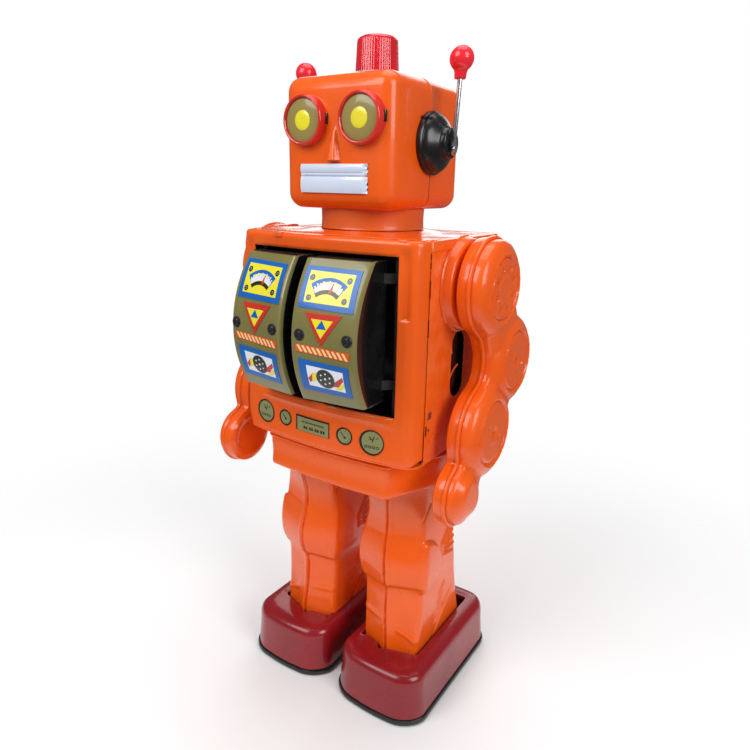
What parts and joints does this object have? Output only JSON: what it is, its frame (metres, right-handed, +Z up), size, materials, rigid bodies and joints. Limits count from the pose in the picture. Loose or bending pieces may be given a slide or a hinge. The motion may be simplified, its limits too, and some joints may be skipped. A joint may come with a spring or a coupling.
{
  "type": "toy robot",
  "caption": "Battery-operated walking robot of painted tinplate with opening chest doors, swinging arms and legs, and a lamp dome.",
  "frame": {"origin": "on the ground under the middle of the whole robot; the waist axis stands 6.3 mm behind it", "axes": "robot faces -Y, its own left side is +X, +Z is up"},
  "size_m": [0.135, 0.1114, 0.3082],
  "materials": {
    "orange_tin": "gloss enamel",
    "maroon_tin": "gloss enamel",
    "red_plastic": "gloss",
    "olive_print": "satin print",
    "pale_print": "gloss enamel",
    "black_plastic": "gloss",
    "black_tin": "gloss enamel",
    "door_print": "gloss print",
    "bright_steel": "plated",
    "dark_steel": "satin",
    "red_lens": "clear gloss",
    "clear_trim": "clear gloss",
    "lamp_glass": "clear",
    "cell_jacket": "satin",
    "brass": "machined",
    "white_nylon": "moulded",
    "rubber": "matt"
  },
  "bodies": {
    "pelvis": {"pelvis_shell": "orange_tin", "pelvis_top_plate": "orange_tin", "waist_bush": "white_nylon", "pelvis_brackets": "bright_steel", "hip_axle": "bright_steel"},
    "torso": {"head_front_shell": "orange_tin", "head_rear_shell": "orange_tin", "neck_collar": "orange_tin", "eye_bezels": "red_plastic", "eye_discs": "olive_print", "mouth_plate": "pale_print", "ear_housings": "black_plastic", "dome_flange": "clear_trim", "dome_lens": "red_lens", "dome_bulb": "lamp_glass", "body_front_panel": "orange_tin", "body_rear_shell": "orange_tin", "body_top_plate": "orange_tin", "body_bottom_plate": "orange_tin", "chest_liner": "black_tin", "door_pins": "bright_steel", "battery_box": "black_plastic", "battery_cells": "cell_jacket", "battery_springs": "bright_steel", "gearbox_frame": "black_plastic", "motor_can": "bright_steel", "shoulder_rings": "orange_tin"},
    "left_door": {"left_door": "door_print", "left_door_bolts": "dark_steel"},
    "right_door": {"right_door": "door_print", "right_door_bolts": "dark_steel"},
    "guns": {"gun_carriage": "dark_steel", "gun_barrels": "dark_steel"},
    "battery_cover": {"battery_cover": "orange_tin"},
    "switch": {"switch_lever": "black_plastic"},
    "motor_rotor": {"motor_pinion": "brass"},
    "idler": {"idler_gear": "white_nylon"},
    "drive": {"drive_gear": "white_nylon", "drive_shaft": "bright_steel"},
    "crank": {"crank_axle": "bright_steel"},
    "left_antenna": {"left_antenna_rod": "bright_steel", "left_antenna_ball": "red_plastic"},
    "right_antenna": {"right_antenna_rod": "bright_steel", "right_antenna_ball": "red_plastic"},
    "left_arm": {"left_arm_inner_shell": "orange_tin", "left_arm_outer_shell": "orange_tin", "left_arm_axle": "bright_steel"},
    "right_arm": {"right_arm_inner_shell": "orange_tin", "right_arm_outer_shell": "orange_tin", "right_arm_axle": "bright_steel"},
    "left_leg": {"left_leg_outer_shell": "orange_tin", "left_leg_inner_shell": "orange_tin", "left_foot_shell": "maroon_tin", "left_foot_sole": "black_tin"},
    "right_leg": {"right_leg_outer_shell": "orange_tin", "right_leg_inner_shell": "orange_tin", "right_foot_shell": "maroon_tin", "right_foot_sole": "black_tin"},
    "left_roller": {"left_foot_roller": "rubber"},
    "right_roller": {"right_foot_roller": "rubber"}
  },
  "joints": [
    {"name": "waist_turn", "type": "hinge", "parent": "pelvis", "child": "torso", "pos_m": [0, 0.0063, 0.13], "axis": [0, 0, 1], "continuous": true},
    {"name": "left_leg_swing", "type": "hinge", "parent": "pelvis", "child": "left_leg", "pos_m": [0, -0.0057, 0.121], "axis": [1, 0, 0], "range_deg": [-5, 5], "stiffness_Nm_per_rad": 2},
    {"name": "right_leg_swing", "type": "hinge", "parent": "pelvis", "child": "right_leg", "pos_m": [0, -0.0057, 0.121], "axis": [1, 0, 0], "range_deg": [-5, 5], "stiffness_Nm_per_rad": 2},
    {"name": "left_roller_turn", "type": "hinge", "parent": "left_leg", "child": "left_roller", "pos_m": [0.0278, 0.0123, 0.0062], "axis": [1, 0, 0], "continuous": true},
    {"name": "right_roller_turn", "type": "hinge", "parent": "right_leg", "child": "right_roller", "pos_m": [-0.0278, 0.0123, 0.0062], "axis": [1, 0, 0], "continuous": true},
    {"name": "left_arm_swing", "type": "hinge", "parent": "torso", "child": "left_arm", "pos_m": [0, 0.0053, 0.2065], "axis": [1, 0, 0], "range_deg": [-12, 12], "stiffness_Nm_per_rad": 0.3},
    {"name": "right_arm_swing", "type": "hinge", "parent": "torso", "child": "right_arm", "pos_m": [0, 0.0053, 0.2065], "axis": [1, 0, 0], "range_deg": [-12, 12], "stiffness_Nm_per_rad": 0.3},
    {"name": "left_door_open", "type": "hinge", "parent": "torso", "child": "left_door", "pos_m": [0.0349, -0.0271, 0.189], "axis": [0, 0, 1], "range_deg": [0, 60], "stiffness_Nm_per_rad": 0.02},
    {"name": "right_door_open", "type": "hinge", "parent": "torso", "child": "right_door", "pos_m": [-0.0349, -0.0271, 0.189], "axis": [0, 0, -1], "range_deg": [0, 60], "stiffness_Nm_per_rad": 0.02},
    {"name": "gun_slide", "type": "slide", "parent": "torso", "child": "guns", "axis": [0, -1, 0], "range_m": [0, 0.009]},
    {"name": "left_antenna_lean", "type": "hinge", "parent": "torso", "child": "left_antenna", "pos_m": [0.0386, 0.0083, 0.262], "axis": [1, 0, 0], "range_deg": [-30, 30], "stiffness_Nm_per_rad": 0.02},
    {"name": "right_antenna_lean", "type": "hinge", "parent": "torso", "child": "right_antenna", "pos_m": [-0.0386, 0.0083, 0.262], "axis": [1, 0, 0], "range_deg": [-30, 30], "stiffness_Nm_per_rad": 0.02},
    {"name": "battery_cover_open", "type": "hinge", "parent": "torso", "child": "battery_cover", "pos_m": [0, 0.0383, 0.1521], "axis": [-1, 0, 0], "range_deg": [0, 95], "stiffness_Nm_per_rad": 0.02},
    {"name": "switch_slide", "type": "slide", "parent": "torso", "child": "switch", "axis": [1, 0, 0], "range_m": [0, 0.005]},
    {"name": "motor_turn", "type": "hinge", "parent": "torso", "child": "motor_rotor", "pos_m": [-0.0294, 0.0063, 0.15], "axis": [0, 0, 1], "continuous": true},
    {"name": "idler_turn", "type": "hinge", "parent": "torso", "child": "idler", "pos_m": [-0.0144, 0.0063, 0.145], "axis": [0, 0, 1], "continuous": true},
    {"name": "drive_turn", "type": "hinge", "parent": "pelvis", "child": "drive", "pos_m": [0, 0.0063, 0.145], "axis": [0, 0, 1], "continuous": true},
    {"name": "crank_turn", "type": "hinge", "parent": "pelvis", "child": "crank", "pos_m": [0, 0.0063, 0.118], "axis": [1, 0, 0], "continuous": true}
  ],
  "couplings": [
    {"joint": "right_leg_swing", "follows": "left_leg_swing", "ratio": -1},
    {"joint": "right_arm_swing", "follows": "left_arm_swing", "ratio": -1},
    {"joint": "right_door_open", "follows": "left_door_open", "ratio": 1},
    {"joint": "idler_turn", "follows": "drive_turn", "ratio": -3},
    {"joint": "motor_turn", "follows": "drive_turn", "ratio": 12},
    {"joint": "crank_turn", "follows": "drive_turn", "ratio": -0.5}
  ]
}
